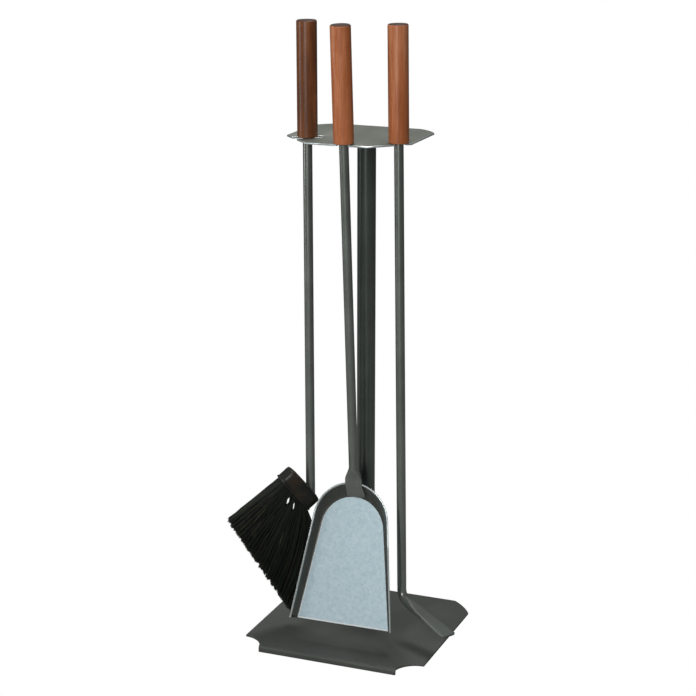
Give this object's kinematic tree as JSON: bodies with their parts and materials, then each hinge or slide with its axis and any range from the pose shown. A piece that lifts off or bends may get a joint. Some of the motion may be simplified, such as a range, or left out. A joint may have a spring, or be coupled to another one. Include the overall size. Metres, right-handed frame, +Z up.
{
  "type": "fireplace tool set",
  "caption": "Freestanding hearth companion set: a steel plate stand with a tube column and slotted hanger that holds a shovel, a poker and a fan brush with turned wooden handles.",
  "frame": {"origin": "on the floor under the middle of the base plate, which is also the middle of the whole set; the column stands 19 mm behind it", "axes": "+Z up along the column; -Y to the front, where the shovel hangs; +X to the side where the poker hangs"},
  "size_m": [0.2454, 0.19, 0.6433],
  "materials": {
    "lacquered_steel": "dark grey lacquered sheet steel, satin",
    "lacquered_tube": "dark grey lacquered steel tube, satin",
    "rod_steel": "dark grey lacquered round bar, satin gloss",
    "zinc_steel": "zinc plated turned steel",
    "galvanised_steel": "galvanised sheet steel with a mottled spangle",
    "ferrule_steel": "dark lacquered pressed steel",
    "cherry_wood": "turned cherry, satin varnish",
    "dark_cherry_wood": "turned cherry with a darker stain, satin varnish",
    "beech_block": "dark stained beech",
    "black_bristle": "near black stiff fibre bristles"
  },
  "bodies": {
    "stand": {"base_plate": "lacquered_steel", "base_screw": "zinc_steel", "base_washer": "zinc_steel", "column_tube": "lacquered_tube", "column_foot_plug": "zinc_steel", "column_head_plug": "zinc_steel", "hanger_plate": "lacquered_steel"},
    "brush": {"brush_handle": "dark_cherry_wood", "brush_rod": "rod_steel", "brush_ferrule": "ferrule_steel", "brush_block": "beech_block", "brush_bristles": "black_bristle"},
    "shovel": {"shovel_handle": "cherry_wood", "shovel_rod": "rod_steel", "shovel_pan": "galvanised_steel"},
    "poker": {"poker_handle": "cherry_wood", "poker_rod": "rod_steel"}
  },
  "joints": [
    {"name": "brush_lift_out", "type": "slide", "parent": "stand", "child": "brush", "axis": [-0.5572, -0.4353, 0.7071], "range_m": [0, 0.25]},
    {"name": "shovel_lift_out", "type": "slide", "parent": "stand", "child": "shovel", "axis": [0, -0.7071, 0.7071], "range_m": [0, 0.25]},
    {"name": "poker_lift_out", "type": "slide", "parent": "stand", "child": "poker", "axis": [0.5572, -0.4353, 0.7071], "range_m": [0, 0.25]}
  ]
}
